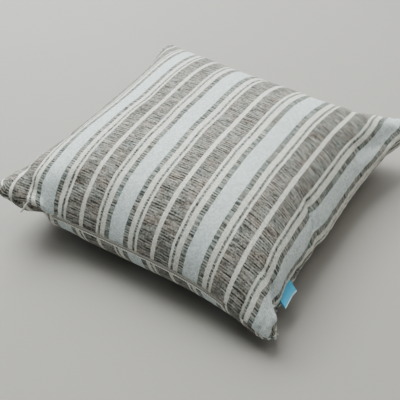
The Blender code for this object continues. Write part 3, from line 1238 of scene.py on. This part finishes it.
def lay_panels(bm: bmesh.types.BMesh, panels: tuple[np.ndarray, np.ndarray], cells: int) -> None:
    """Lays a grid over each panel's points, and marks every point with its row, column and side.

    Args:
        bm: The shape that the grids join.
        panels: Points of the top panel and of the back one.
        cells: Cells along one side of a panel.
    """
    layers = [bm.verts.layers.int.new(name) for name in ("row", "column", "side")]
    for side, points in zip((1, 0), panels):
        grid = bmesh.ops.create_grid(bm, x_segments=cells, y_segments=cells, size=1.0)
        for vert in grid["verts"]:
            row, column = (round((share + 1) / 2 * cells) for share in vert.co.xy)
            vert.co = points[row, column]
            for layer, mark in zip(layers, (row, column, side)):
                vert[layer] = mark
        if side == 0:
            faces = {face for vert in grid["verts"] for face in vert.link_faces}
            bmesh.ops.reverse_faces(bm, faces=list(faces))


class Waves:
    """A fixed, uneven run of soft waves along a seam, from a few summed lengths."""

    def __init__(self, seed: int, shortest: float, longest: float, count: int = 7) -> None:
        """Draws the lengths and their starts.

        Args:
            seed: Number that fixes the draw.
            shortest: Shortest length.
            longest: Longest length.
            count: How many lengths are summed.
        """
        draw = np.random.default_rng(seed)
        self.lengths = np.geomspace(shortest, longest, count) * draw.uniform(0.9, 1.1, count)
        self.starts = draw.uniform(0.0, math.tau, count)

    def at(self, along: np.ndarray) -> np.ndarray:
        """Height of the waves at distances along the seam.

        Args:
            along: The distances.

        Returns:
            The heights, about -1 to 1.
        """
        runs = zip(self.lengths, self.starts)
        parts = [np.sin(math.tau * along / length + start) for length, start in runs]
        return sum(parts) / math.sqrt(len(parts) * 1.5)


@dataclass
class Cover:
    """The cushion's cover: both panels, settled as cloth over the filling, and the seam between them."""

    shape: FilledShape = field(default_factory=FilledShape)
    cells: int = 180
    edge_ease: float = 0.25
    groove_depth: float = 2.0 * MM
    rim_gap: float = 0.6 * MM
    roll: float = 1.1 * MM
    roll_reach: float = 4.5 * MM
    roll_unevenness: float = 0.35
    pucker: float = 1.1 * MM
    pucker_reach: float = 8.0 * MM
    pucker_seed: int = 31
    pucker_lengths: tuple[float, float] = (11 * MM, 38 * MM)
    pucker_rise: float = 0.15
    corner_fade: float = 5.0
    calm: float = 0.4
    lump_height: float = 0.7 * MM
    lump_seed: int = 5
    lump_lengths: tuple[float, float] = (70 * MM, 190 * MM)
    lump_shift: float = 0.4
    rest_fade: float = 6.0 * MM
    back_start: float = 1.3
    back_shift: float = -0.060
    back_skew: float = 0.18
    back_skew_reach: float = 130 * MM
    zip_span: tuple[float, float] = (-0.600, 0.620)
    zip_ease: float = 0.03
    zipped_roll: float = 0.5
    lip: float = 1.8 * MM
    lip_reach: float = 8.0 * MM
    gap_at: float = -0.665
    gap_spread: float = 0.062
    gap_open: float = 4.5 * MM
    gap_depth: float = 14.0 * MM
    side_gap: float = 0.8 * MM
    side_depth: float = 1.8 * MM
    corner_reach: float = 0.075
    corner_opening: float = 0.2
    rim_from: float = 0.999
    ear: tuple[float, float] = (-0.97, -0.97)
    ear_reach: tuple[float, float] = (0.20, 0.24)
    ear_thinning: float = 0.62
    tab_span: tuple[float, float] = (-0.672, -0.515)
    tab_margin: float = 0.02
    tab_gap: float = 1.5 * MM
    creases: tuple[Fold, ...] = (
        Fold(0.77, -0.685, 0.82, -0.70, 0.045, -3.2 * MM),
        Fold(0.86, -0.72, 0.94, -0.82, 0.020, 2.6 * MM),
        Fold(0.95, -0.83, 1.00, -0.87, 0.045, 5.5 * MM),
        Fold(0.88, -0.93, 0.92, -0.93, 0.060, -1.8 * MM),
        Fold(0.78, -0.135, 0.90, -0.19, 0.018, 3.4 * MM),
        Fold(0.80, -0.175, 0.88, -0.225, 0.020, -1.3 * MM),
        Fold(0.90, -0.19, 0.95, -0.31, 0.020, 2.6 * MM),
        Fold(1.00, -0.33, 1.00, -0.43, 0.070, 4.5 * MM),
        Fold(-0.70, -0.90, -0.90, -0.77, 0.026, 0.9 * MM),
        Fold(0.90, 0.62, 0.97, 0.78, 0.022, 1.8 * MM),
    )
    pulls: tuple[Pull, ...] = (
        Pull(-0.85, -0.82, 0.10, 0.14, (2.0 * MM, 0.0, 0.0), back=False),
        Pull(-0.97, -0.78, 0.12, 0.14, (0.0, 0.0, -1.5 * MM)),
        Pull(-0.70, -0.93, 0.070, 0.10, (2.0 * MM, 8.0 * MM, -1.0 * MM), top=False),
        Pull(-0.70, -0.78, 0.075, 0.13, (0.0, 8.0 * MM, 3.0 * MM), top=False),
        Pull(-0.76, -0.90, 0.070, 0.12, (0.0, 0.0, -5.0 * MM), top=False),
        Pull(-0.60, -1.00, 0.065, 0.10, (3.0 * MM, 0.0, -3.0 * MM)),
        Pull(-0.42, -1.00, 0.200, 0.12, (0.0, 0.0, -1.8 * MM)),
        Pull(-0.50, -0.82, 0.120, 0.13, (0.0, 0.0, 3.5 * MM), top=False),
        Pull(-0.56, -0.86, 0.140, 0.13, (0.0, 0.0, 3.7 * MM), top=False),
        Pull(0.925, -0.87, 0.035, 0.085, (5.0 * MM, 0.0, 1.0 * MM), back=False),
        Pull(1.00, -0.87, 0.045, 0.085, (-8.0 * MM, 0.0, -8.0 * MM)),
        Pull(1.00, -0.79, 0.070, 0.045, (-6.0 * MM, 0.0, -5.0 * MM)),
        Pull(0.985, -0.94, 0.050, 0.065, (3.2 * MM, -0.3 * MM, 0.0)),
        Pull(0.965, -0.80, 0.030, 0.050, (1.2 * MM, 0.0, 0.0), back=False),
        Pull(0.95, -0.35, 0.100, 0.10, (-4.8 * MM, 0.0, 0.0), top=False),
        Pull(0.95, 0.80, 0.100, 0.13, (-3.5 * MM, 0.0, 0.0), top=False),
    )
    drifts: tuple[Drift, ...] = (
        Drift(-0.59, 0.03, 0.22, 0.41, 7.3),
        Drift(-0.67, -1.00, 0.05, 0.045, 4.5),
        Drift(-0.735, -0.94, 0.042, 0.10, 4.6),
        Drift(0.00, -0.88, 0.60, 0.10, -1.0),
        Drift(0.14, -0.30, 0.18, 0.28, 1.3),
        Drift(0.67, 0.00, 0.14, 0.55, -1.3),
        Drift(-0.12, -0.38, 0.22, 0.22, 2.8),
        Drift(-0.10, 0.45, 0.25, 0.22, -1.9),
        Drift(0.42, -0.45, 0.30, 0.30, 4.2),
        Drift(0.40, 0.10, 0.30, 0.20, 1.3),
        Drift(0.40, 0.68, 0.28, 0.22, 5.5),
        Drift(0.85, 0.60, 0.14, 0.15, 4.5),
        Drift(0.83, -0.70, 0.10, 0.085, 4.5),
        Drift(1.00, -0.95, 0.10, 0.10, 2.5),
        Drift(1.00, -1.00, 0.12, 0.07, 5.0),
        Drift(-0.74, -0.92, 0.08, 0.15, -8.0, back=True),
    )

    def __post_init__(self) -> None:
        """Works out the cloth points and lays both panels over them."""
        self.cloth = cloth_points(self.cells, self.edge_ease)
        self.u, self.v = np.meshgrid(self.cloth, self.cloth, indexing="ij")
        self.top, self.back = self.shape.panels(self.cloth)

    def settle(self) -> None:
        """Adds the small folds of the simulated cloth to both panels."""
        top, back = ClothSettling(self.shape).moves(self.cells, self.edge_ease)
        self.top = self.top + top
        self.back = self.back + back
        self.back[..., 2] = np.maximum(self.back[..., 2], 0.0)

    def along_zip(self) -> np.ndarray:
        """Share to which each cloth point is beside the closed zip's stretch of the front seam.

        Returns:
            The shares, 1 beside the zip and 0 elsewhere.
        """
        start, end = self.zip_span
        rise = np.clip((self.u - start) / self.zip_ease + 0.5, 0.0, 1.0)
        fall = np.clip((end - self.u) / self.zip_ease + 0.5, 0.0, 1.0)
        return rise * fall

    def seam_relief(self, is_top: bool) -> np.ndarray:
        """How far the cloth stands out beside the seams, where it rolls into them and puckers.

        Args:
            is_top: Whether it is the top panel.

        Returns:
            The distance at each cloth point.
        """
        half = self.shape.panel_half
        relief = np.zeros_like(self.u)
        seams = {
            "right": (self.u, self.v),
            "left": (-self.u, self.v),
            "back": (self.v, self.u),
            "front": (-self.v, self.u),
        }
        for number, (seam, (across, along)) in enumerate(seams.items()):
            away = (1 - across) * half
            fade = np.clip((1 - np.abs(along)) * self.corner_fade, 0.0, 1.0)
            seed = self.pucker_seed + number + (0 if is_top else 10)
            waves = Waves(seed, *self.pucker_lengths).at((along + 1) * half)
            roll = beside_seam(away, self.roll_reach) * self.roll * (1 + self.roll_unevenness * waves * fade)
            pucker = beside_seam(away, self.pucker_reach) * self.pucker
            pucker = pucker * np.minimum(waves, self.pucker_rise) * fade
            if seam == "right":
                relief += roll + pucker * self.calm
            elif seam == "front":
                beside = self.along_zip()
                lip = beside_seam(away, self.lip_reach) * self.lip + pucker * self.calm
                plain = roll + pucker
                zipped = plain * self.zipped_roll if is_top else lip
                relief += plain * (1 - beside) + zipped * beside
            else:
                relief += roll + pucker
        return relief

    def lumps(self) -> np.ndarray:
        """The filling's slight unevenness under the top panel.

        Returns:
            Its height at each cloth point, 0 at the seams.
        """
        half = self.shape.panel_half
        waves = Waves(self.lump_seed, *self.lump_lengths, count=5)
        swell = waves.at(self.u * half) * waves.at(self.v * half + self.lump_shift)
        inside = (1 - self.u**8) * (1 - self.v**8)
        return swell * self.lump_height * inside

    def dress(self) -> None:
        """Adds creases, seam relief, the filling's slight unevenness and the pulls about the corners."""
        for is_top in (True, False):
            points = self.top if is_top else self.back
            normals = outward(points, self.shape.mid_seams[0])
            move = self.seam_relief(is_top)
            if is_top:
                for crease in self.creases:
                    move -= crease.depth * trough(self.u, self.v, crease)
                move += self.lumps()
            else:
                move *= np.clip(points[..., 2] / self.rest_fade, 0.0, 1.0)
            points += normals * move[..., None]
        thinned = self.ear_thinning * self.nearness(*self.ear, *self.ear_reach)
        self.back += (self.top - self.back) * thinned
        for pull in self.pulls:
            move = self.nearness(pull.u, pull.v, pull.reach_u, pull.reach_v) * np.array(pull.move)
            self.top += move * float(pull.top)
            self.back += move * float(pull.back)
        self.back[..., 2] = np.maximum(self.back[..., 2], 0.0)

    def nearness(self, u: float, v: float, reach_u: float, reach_v: float) -> np.ndarray:
        """1 at a cloth point and less with distance from it, over both panels."""
        away = ((self.u - u) / reach_u) ** 2 + ((self.v - v) / reach_v) ** 2
        return np.exp(-away)[..., None]

    def build(self) -> bpy.types.Object:
        """Makes the finished cover.

        Returns:
            The piece.
        """
        self.settle()
        self.dress()
        bm = bmesh.new()
        lay_panels(bm, (self.top, self.back), self.cells)
        self.sew(bm)
        self.map_cloth(bm)
        piece = add_piece("cushion_cover", bm, StripedCloth().made())
        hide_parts("cushion")
        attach(piece, ROOT)
        return piece

    def sew(self, bm: bmesh.types.BMesh) -> None:
        """Joins the panels' edges by a groove that runs in between them.

        Args:
            bm: Both panels.
        """
        row, column, side = (bm.verts.layers.int[name] for name in ("row", "column", "side"))
        top_normals = outward(self.top, self.shape.mid_seams[0])
        back_normals = outward(self.back, self.shape.mid_seams[0])
        rim_edges = [edge for edge in bm.edges if edge.is_boundary and edge.verts[0][side] == 1]
        rims = {vert for edge in bm.edges if edge.is_boundary for vert in edge.verts}
        depths, ends = {}, {}
        for vert in rims:
            place = (vert[row], vert[column])
            out = Vector(top_normals[place] + back_normals[place]).normalized()
            apart = Vector(top_normals[place] - back_normals[place]).normalized()
            seam = Vector(self.top[place]) if vert[side] else Vector(self.back[place])
            gap, depth = self.opening(self.u[place], self.v[place])
            vert.co = seam + apart * gap / 2 * (1 if vert[side] else -1)
            if vert[side]:
                depths[place] = (Vector(self.top[place]) + Vector(self.back[place])) / 2 - out * depth
            else:
                ends[place] = vert.co.copy()
        for targets in (depths, ends):
            made = bmesh.ops.extrude_edge_only(bm, edges=rim_edges)["geom"]
            for vert in (item for item in made if isinstance(item, bmesh.types.BMVert)):
                vert.co = targets[(vert[row], vert[column])]
            rim_edges = [item for item in made if isinstance(item, bmesh.types.BMEdge)]
        bmesh.ops.remove_doubles(bm, verts=[v for v in bm.verts if v.is_boundary], dist=0.002 * MM)
        bmesh.ops.recalc_face_normals(bm, faces=bm.faces)

    def opening(self, u: float, v: float) -> tuple[float, float]:
        """Width and depth of the groove between the panels at a point of the seam, shallow at the corners.

        Args:
            u: Cloth coordinate along the front seam.
            v: Cloth coordinate along the stripes.

        Returns:
            The width and the depth.
        """
        ease = min(1.0, self.corner_opening + (2.0 - abs(u) - abs(v)) / self.corner_reach)
        gap, depth = self.rim_gap, self.groove_depth
        if v < -self.rim_from:
            fall = math.exp(-(((u - self.gap_at) / self.gap_spread) ** 2))
            depth += self.gap_depth * fall
            gap += self.gap_open * fall
        if u > self.rim_from:
            gap += self.side_gap
            depth += self.side_depth
            if self.tab_span[0] - self.tab_margin < v < self.tab_span[1] + self.tab_margin:
                gap += self.tab_gap
                depth += self.tab_gap
        return gap * ease, depth * ease

    def map_cloth(self, bm: bmesh.types.BMesh) -> None:
        """Lays the cloth map. The back panel's stripes stand aside of the top's and lean near the zip.

        Args:
            bm: The sewn cover.
        """
        row, column, side = (bm.verts.layers.int[name] for name in ("row", "column", "side"))
        layer = bm.loops.layers.uv.new(CLOTH_MAP)
        width = 2 * self.shape.panel_half
        aside = {True: np.zeros_like(self.u), False: np.zeros_like(self.u)}
        for drift in self.drifts:
            near = self.nearness(drift.u, drift.v, drift.reach_u, drift.reach_v)[..., 0]
            aside[drift.back] += drift.aside * MM * near
        for face in bm.faces:
            is_back = any(loop.vert[side] == 0 for loop in face.loops)
            for loop in face.loops:
                u, v = self.cloth[loop.vert[row]], self.cloth[loop.vert[column]]
                stray = aside[is_back][loop.vert[row], loop.vert[column]] / width
                if is_back:
                    away = (1 + v) * self.shape.panel_half
                    leant = 1 - math.exp(-away / self.back_skew_reach)
                    lean = self.back_skew * self.back_skew_reach * leant
                    place = (u + 1) / 2 + self.back_shift - stray - lean / width
                    loop[layer].uv = (place, (v + 1) / 2 + self.back_start)
                else:
                    loop[layer].uv = ((u + 1) / 2 - stray, (v + 1) / 2)

    def front_seam(self, place: float) -> np.ndarray:
        """A point of the front seam at a cloth coordinate."""
        return np.array([np.interp(place, self.cloth, self.top[:, 0, axis]) for axis in range(3)])

    def right_seam(self, place: float) -> np.ndarray:
        """A point of the right seam at a cloth coordinate."""
        return np.array([np.interp(place, self.cloth, self.top[-1, :, axis]) for axis in range(3)])


def strip_grid(
    bm: bmesh.types.BMesh, stations: int, shares: np.ndarray
) -> dict[bmesh.types.BMVert, tuple[float, int]]:
    """Lays the grid of a strip and its cloth map, before its points are placed.

    Args:
        bm: The shape that the grid joins.
        stations: Cells along the strip.
        shares: Where each column stands across the map, from 0 to 1.

    Returns:
        For each point, its share of the length and its column.
    """
    columns = len(shares) - 1
    grid = bmesh.ops.create_grid(bm, x_segments=stations, y_segments=columns, size=1.0)
    places = {}
    for vert in grid["verts"]:
        along, across = ((value + 1) / 2 for value in vert.co.xy)
        places[vert] = (along, round(across * columns))
    layer = bm.loops.layers.uv.new(CLOTH_MAP)
    for face in bm.faces:
        for loop in face.loops:
            along, column = places[loop.vert]
            loop[layer].uv = (along, shares[column])
    return places


def trim_piece(
    name: str,
    bm: bmesh.types.BMesh,
    finish: bpy.types.Material,
    slot: str,
    *nodes: str,
    thick: float = 0.0,
) -> bpy.types.Object:
    """Finishes a piece of trim, which rides with the cushion.

    Args:
        name: The piece's name.
        bm: Its shape, which is freed.
        finish: Its material.
        slot: The record's slot of its finish; not used.
        *nodes: The frame's nodes that it stands for.
        thick: Thickness given to a strip, half to each side.

    Returns:
        The piece.
    """
    piece = add_piece(name, bm, finish)
    if nodes:
        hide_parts(*nodes)
    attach(piece, ROOT)
    if thick:
        skin = piece.modifiers.new("thickness", "SOLIDIFY")
        skin.thickness = thick
        skin.offset = 0.0
    return piece


def hard_block(bm: bmesh.types.BMesh, size: tuple[float, float, float], place: Matrix, edge: float) -> None:
    """Adds one block with rounded edges.

    Args:
        bm: The shape that it joins.
        size: Its length, depth and height.
        place: Where its middle goes, and how it is turned.
        edge: Radius of its edges.
    """
    made = bmesh.ops.create_cube(bm, size=1.0)["verts"]
    bmesh.ops.scale(bm, verts=made, vec=size)
    bmesh.ops.transform(bm, verts=made, matrix=place)
    edges = list({link for vert in made for link in vert.link_edges})
    bmesh.ops.bevel(
        bm, geom=edges, offset=edge, segments=2, profile=0.5, affect="EDGES", material=-1
    )


def wire_ring(
    bm: bmesh.types.BMesh, radius: float, wire: float, turn: float, place: Matrix
) -> None:
    """Adds a round wire bent about the Y axis: a whole ring, or an arch over the X axis.

    Args:
        bm: The shape that it joins.
        radius: Radius of the bend, to the wire's middle.
        wire: Radius of the wire.
        turn: How far it bends, tau for a whole ring.
        place: Where the bend's middle goes, and how it is turned.
    """
    section = bmesh.ops.create_circle(bm, segments=8, radius=wire, cap_ends=turn < math.tau)
    bmesh.ops.translate(bm, verts=section["verts"], vec=(radius, 0.0, 0.0))
    start = set(section["verts"])
    faces = {face for vert in start for face in vert.link_faces}
    geometry = [*start, *{edge for vert in start for edge in vert.link_edges}, *faces]
    before = set(bm.verts) - start
    whole = turn >= math.tau
    bmesh.ops.spin(
        bm,
        geom=geometry,
        cent=(0.0, 0.0, 0.0),
        axis=(0.0, -1.0, 0.0),
        angle=turn,
        steps=24 if whole else 12,
        use_merge=whole,
    )
    made = [vert for vert in bm.verts if vert not in before]
    bmesh.ops.transform(bm, verts=made, matrix=place)


@dataclass
class Zip:
    """The closed zip under the front seam: its tape and coil, and the slider with its hanging pull."""

    cover: Cover
    span: tuple[float, float] = (-0.680, 0.620)
    stations: int = 190
    tape_section: tuple[tuple[float, float], ...] = (
        (0.00, 0.10),
        (0.60, -0.30),
        (1.25, -0.85),
        (1.75, -1.55),
        (1.90, -2.20),
        (1.30, -2.60),
        (1.10, -3.05),
        (1.80, -3.30),
        (2.60, -3.55),
        (2.85, -4.15),
        (2.10, -4.70),
    )
    tape_thick: float = 0.5 * MM
    tucked_until: float = -0.590
    tuck_ease: float = 0.04
    tuck: float = 9.0 * MM
    coil_pitch: float = 1.7 * MM
    coil_place: tuple[float, float] = (1.15 * MM, -2.75 * MM)
    coil_margins: tuple[float, float] = (0.012, 0.004)
    rung: tuple[float, float, float] = (1.05 * MM, 0.9 * MM, 0.9 * MM)
    rung_edge: float = 0.22 * MM
    rung_lean: float = math.radians(14)
    slider_shift: tuple[float, float, float] = (-2.8 * MM, 1.2 * MM, 2.4 * MM)
    slider_plate: tuple[float, float, float] = (7.0 * MM, 0.7 * MM, 3.6 * MM)
    slider_gap: float = 0.8 * MM
    plate_edge: float = 0.35 * MM
    neck_back: float = 0.32
    neck_length: float = 0.2
    neck_height: float = 0.4
    neck_edge: float = 0.2 * MM
    arch: tuple[float, float] = (1.7 * MM, 0.40 * MM)
    arch_height: float = 0.4
    arch_sunk: float = 0.2 * MM
    hook_out: float = 0.55
    hook_height: float = 2.2 * MM
    pull: tuple[float, float, float] = (1.8 * MM, 3.0 * MM, 14.8 * MM)
    pull_edge: float = 0.4 * MM
    pull_eye: tuple[float, float] = (1.35 * MM, 0.42 * MM)
    swing: float = math.radians(-27)
    lean: float = math.radians(25)

    def build(self) -> list[bpy.types.Object]:
        """Makes the zip's pieces.

        Returns:
            The pieces.
        """
        return [self.build_tape(), self.build_coil(), self.build_slider(), self.build_pull()]

    def build_tape(self) -> bpy.types.Object:
        """Makes the tape, a ribbon that stands out from the seam and tucks in at both its edges.

        Returns:
            The piece.
        """
        bm = bmesh.new()
        start, end = self.span
        places = strip_grid(bm, self.stations, np.linspace(0.0, 1.0, len(self.tape_section)))
        for vert, (share, column) in places.items():
            out, up = (distance * MM for distance in self.tape_section[column])
            place = start + (end - start) * share
            vert.co = Vector(self.cover.front_seam(place)) + Vector((0.0, self.tucked(place) - out, up))
        finish = ZipTape().made()
        return trim_piece("zip_tape", bm, finish, "zip_tape", "zip_strip", thick=self.tape_thick)

    def tucked(self, place: float) -> float:
        """How far the tape draws back into the open end of the seam."""
        share = (self.tucked_until - place) / self.tuck_ease + 0.5
        return self.tuck * min(max(share, 0.0), 1.0)

    def build_coil(self) -> bpy.types.Object:
        """Makes the coil's rungs, which stand side by side along the tape.

        Returns:
            The piece.
        """
        bm = bmesh.new()
        start, end = self.span
        length = (end - start) * self.cover.shape.panel_half
        out, up = self.coil_place
        first, last = start + self.coil_margins[0], end - self.coil_margins[1]
        for place in np.linspace(first, last, int(length / self.coil_pitch)):
            here = Vector(self.cover.front_seam(place))
            after = Vector(self.cover.front_seam(place + 0.01))
            made = bmesh.ops.create_cube(bm, size=1.0)["verts"]
            bmesh.ops.scale(bm, verts=made, vec=self.rung)
            turned = Matrix.Rotation(self.slope(here, after) + self.rung_lean, 4, "Y")
            middle = here + Vector((0.0, self.tucked(place) - out, up))
            bmesh.ops.transform(bm, verts=made, matrix=Matrix.Translation(middle) @ turned)
        bmesh.ops.bevel(
            bm,
            geom=list(bm.edges),
            offset=self.rung_edge,
            segments=1,
            profile=0.5,
            affect="EDGES",
            material=-1,
        )
        return trim_piece("zip_coil", bm, Coil().made(), "zip_tape")

    def slope(self, here: Vector, after: Vector) -> float:
        """Angle by which the seam falls to the right, about the Y axis."""
        return math.atan2(here.z - after.z, after.x - here.x)

    def slider_place(self) -> Matrix:
        """Finds the middle of the slider, and turns it along the seam.

        Returns:
            The place, for the slider's own parts to be laid on.
        """
        low, high = (Vector(corner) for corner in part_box("zip_slider"))
        here, after = (Vector(self.cover.front_seam(self.span[0] + step)) for step in (-0.02, 0.02))
        level = math.atan2(after.y - here.y, after.x - here.x)
        middle = (low + high) / 2 + Vector(self.slider_shift)
        return Matrix.Translation(middle) @ Matrix.Rotation(level, 4, "Z")

    def build_slider(self) -> bpy.types.Object:
        """Makes the slider: two plates, the neck between them and the arch that the pull hangs from.

        Returns:
            The piece.
        """
        bm = bmesh.new()
        place = self.slider_place()
        length, depth, height = self.slider_plate
        for side in (-1, 1):
            aside = Matrix.Translation((0.0, side * (self.slider_gap + depth) / 2, 0.0))
            hard_block(bm, self.slider_plate, place @ aside, self.plate_edge)
        neck = Matrix.Translation((-length * self.neck_back, 0.0, 0.0))
        neck_size = (length * self.neck_length, self.slider_gap + depth, height * self.neck_height)
        hard_block(bm, neck_size, place @ neck, self.neck_edge)
        radius, wire = self.arch
        face = -(self.slider_gap / 2 + depth)
        foot = Matrix.Translation((0.0, face + self.arch_sunk, height * self.arch_height))
        upright = Matrix.Rotation(math.pi / 2, 4, "X")
        wire_ring(bm, radius, wire, math.pi, place @ (foot @ upright))
        bmesh.ops.recalc_face_normals(bm, faces=bm.faces)
        # Painted shade: the slider's metal is painted dark grey so that it sinks into the shade under the
        # seam's lip.
        finish = CastMetal("zip_metal", srgb(132, 131, 127), srgb(178, 177, 172), 0.85).made()
        return trim_piece("slider_body", bm, finish, "zip_metal", "zip_slider")

    def build_pull(self) -> bpy.types.Object:
        """Makes the thin pull, which hangs edge on from its eye.

        Returns:
            The piece.
        """
        bm = bmesh.new()
        eye_radius, eye_wire = self.pull_eye
        out = self.slider_gap / 2 + self.slider_plate[1] + self.arch[0] * self.hook_out
        hook = self.slider_place() @ Vector((0.0, -out, self.hook_height))
        swung = Matrix.Rotation(self.lean, 4, "Y") @ Matrix.Rotation(self.swing, 4, "X")
        turned = Matrix.Translation(hook) @ swung
        sideways = Matrix.Rotation(math.pi / 2, 4, "Z")
        wire_ring(bm, eye_radius, eye_wire, math.tau, turned @ sideways)
        down = Matrix.Translation((0.0, 0.0, -eye_radius - self.pull[2] / 2))
        hard_block(bm, self.pull, turned @ down, self.pull_edge)
        bmesh.ops.recalc_face_normals(bm, faces=bm.faces)
        return trim_piece("pull_bar", bm, CastMetal("pull_metal").made(), "pull_metal", "zip_pull")


@dataclass
class SideTab:
    """The blank blue ribbon that is folded double and sewn into the right seam."""

    cover: Cover
    span: tuple[float, float] = (-0.672, -0.515)
    stations: int = 28
    leaf_points: int = 12
    turn_points: int = 7
    leaf: float = 15.0 * MM
    taper: float = 4.0 * MM
    root: float = 1.0 * MM
    droop: float = math.radians(18)
    skew: float = math.radians(27)
    half_gap: float = 0.75 * MM
    root_gap: float = 0.45
    gap_growth: float = 4.0
    thick: float = 0.8 * MM
    lift: float = 0.8 * MM
    curl: float = 0.9 * MM
    curl_turns: tuple[float, float] = (0.4, 1.3)

    def section(self) -> list[tuple[float, float]]:
        """Works out the section round the folded ribbon, from its upper root to its lower one.

        Returns:
            The distances of its points along the ribbon and aside of its middle.
        """
        upper = []
        for share in np.linspace(0.0, 1.0, self.leaf_points):
            aside = self.half_gap * min(1.0, self.root_gap + share * self.gap_growth)
            upper.append((share * self.leaf, aside))
        turn = [
            (self.leaf + self.half_gap * math.sin(angle), self.half_gap * math.cos(angle))
            for angle in np.linspace(0.0, math.pi, self.turn_points + 2)[1:-1]
        ]
        return upper + turn + [(along, -aside) for along, aside in reversed(upper)]

    def build(self) -> bpy.types.Object:
        """Makes the ribbon.

        Returns:
            The piece.
        """
        section = self.section()
        lengths = np.hypot(*np.diff(np.array(section), axis=0).T)
        shares = np.concatenate([[0.0], np.cumsum(lengths)]) / lengths.sum()
        bm = bmesh.new()
        start, end = self.span
        first_turn, turns = self.curl_turns
        for vert, (share, column) in strip_grid(bm, self.stations, shares).items():
            along, aside = section[column]
            along *= 1 + (share - 0.5) * self.taper / self.leaf
            wave = math.sin(share * math.pi * turns + first_turn)
            curl = self.curl * wave * (along / self.leaf) ** 2
            out = along * math.cos(self.droop) + (aside + curl) * math.sin(self.droop)
            up = -along * math.sin(self.droop) + (aside + curl) * math.cos(self.droop) + self.lift
            step = Vector((out * math.cos(self.skew) - self.root, -out * math.sin(self.skew), up))
            vert.co = Vector(self.cover.right_seam(start + (end - start) * share)) + step
        finish = Ribbon().made()
        piece = trim_piece("side_ribbon", bm, finish, "blue_tape", "side_tab", thick=self.thick)
        return piece


def main() -> None:
    """Builds the scene in order."""
    logging.basicConfig(level=logging.INFO, format="%(name)s: %(message)s")
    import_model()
    Camera().build()
    Studio().build()
    cover = Cover()
    LOG.info("cover: %s", cover.build().name)
    for piece in (*Zip(cover).build(), SideTab(cover).build()):
        LOG.info("trim: %s", piece.name)


if __name__ == "__main__":
    main()
